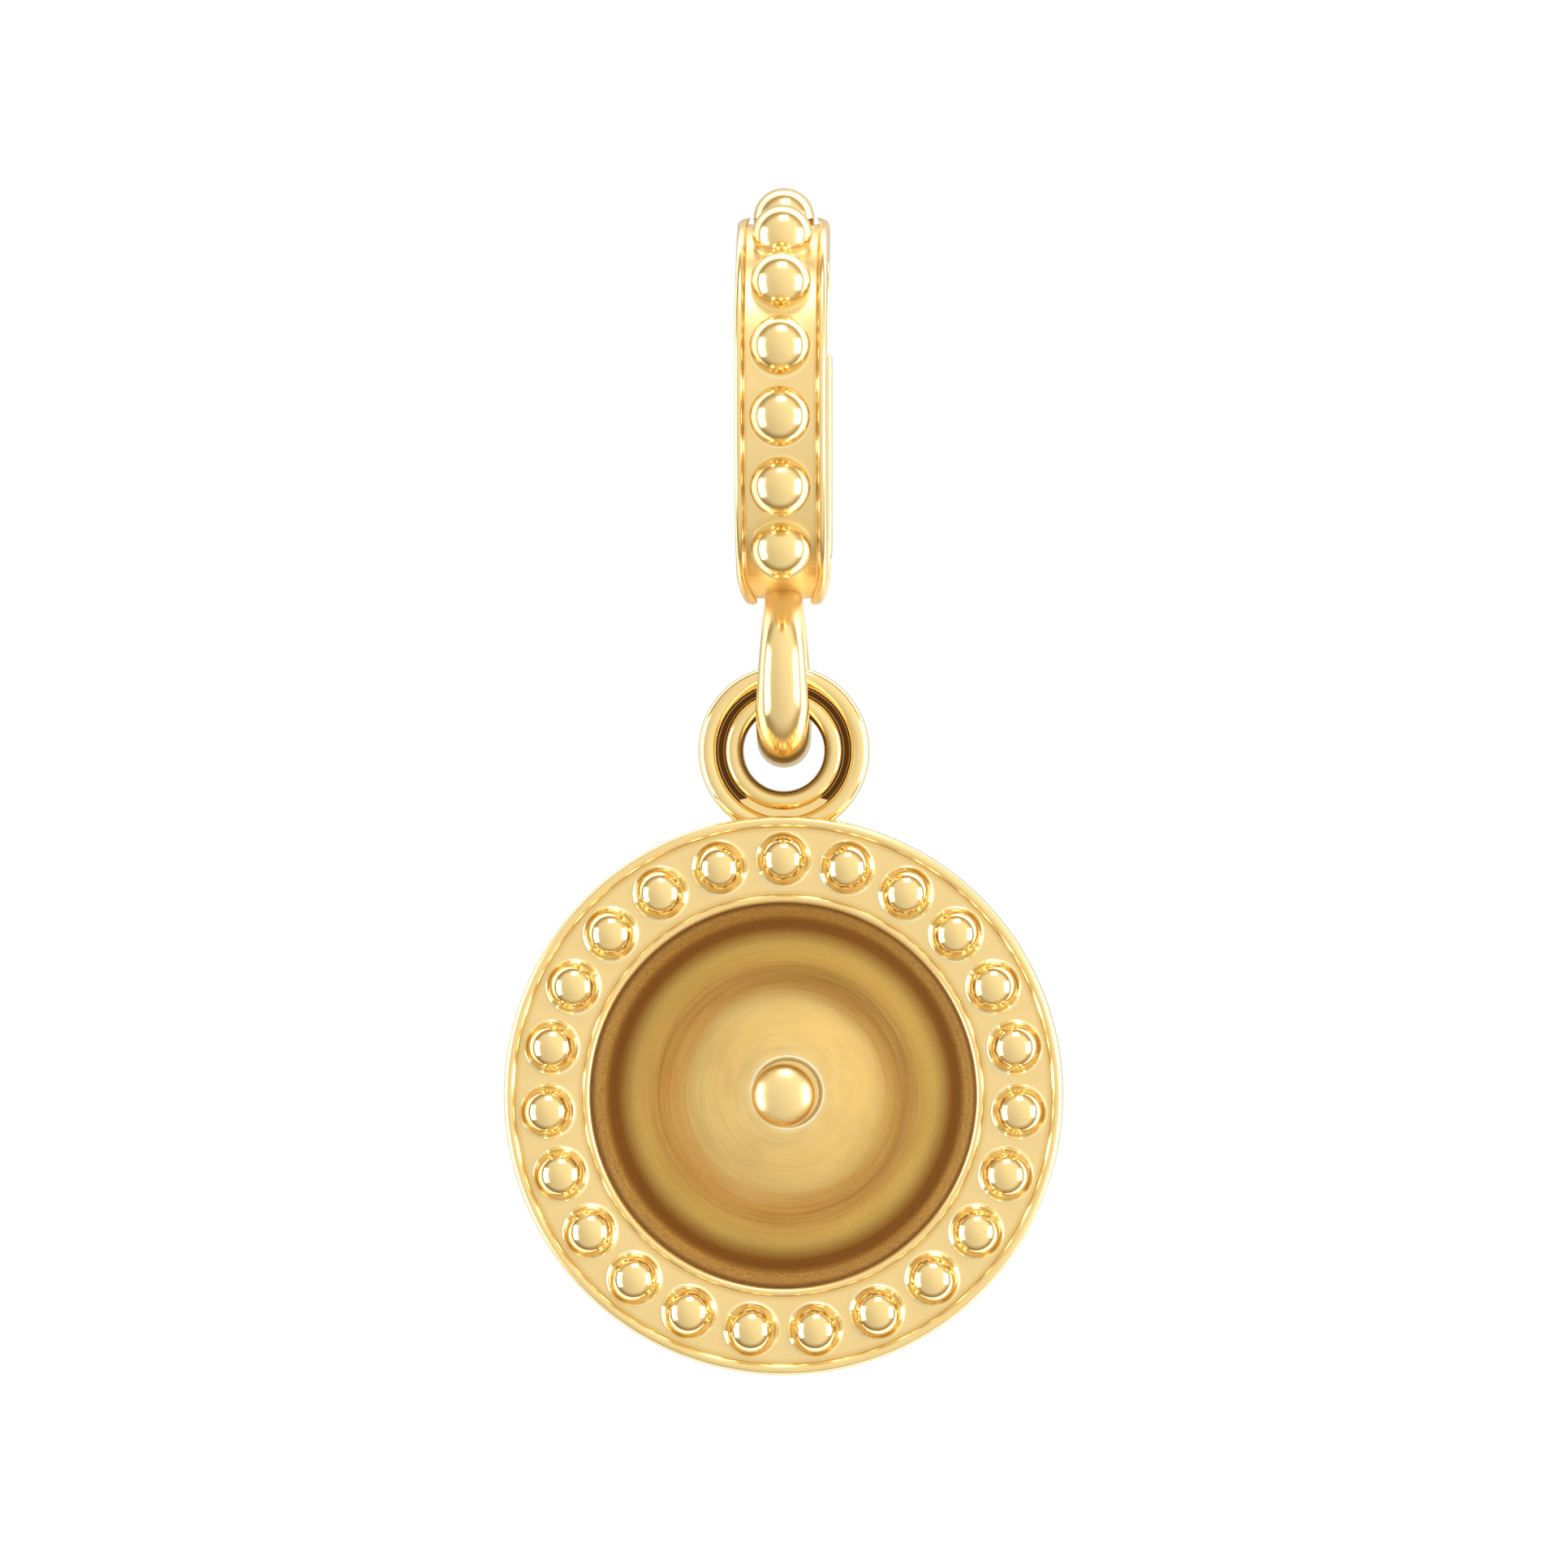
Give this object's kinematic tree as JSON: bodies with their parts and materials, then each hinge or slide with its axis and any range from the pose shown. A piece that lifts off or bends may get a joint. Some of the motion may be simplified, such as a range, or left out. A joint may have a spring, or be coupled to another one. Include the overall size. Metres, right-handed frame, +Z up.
{
  "type": "pearl pendant setting",
  "caption": "Round cup with a beaded rim and a glue-on peg for a half-drilled pearl, hung by its loop from a beaded bail that opens on a hinge.",
  "frame": {"origin": "inside top of the bail on its middle plane, where it bears on the chain or wire that it hangs from", "axes": "+Z up, the beaded front faces -Y, +X to the right as seen from the front; a chain runs through the bail along X"},
  "size_m": [0.0088, 0.0056, 0.0187],
  "materials": {
    "gold": "yellow gold, high polish, with fine turned lines inside the bowl"
  },
  "bodies": {
    "bail": {"bail_bow": "gold", "hinge_pin": "gold"},
    "gate": {"bail_gate": "gold"},
    "setting": {"setting": "gold"}
  },
  "joints": [
    {"name": "gate_hinge", "type": "hinge", "parent": "bail", "child": "gate", "pos_m": [0, 0.00094, -0.00445], "axis": [-1, 0, 0], "range_deg": [0, 80]},
    {"name": "setting_swing", "type": "hinge", "parent": "bail", "child": "setting", "pos_m": [0, 0, -0.00763], "axis": [0, 1, 0], "range_deg": [-110, 110]}
  ]
}
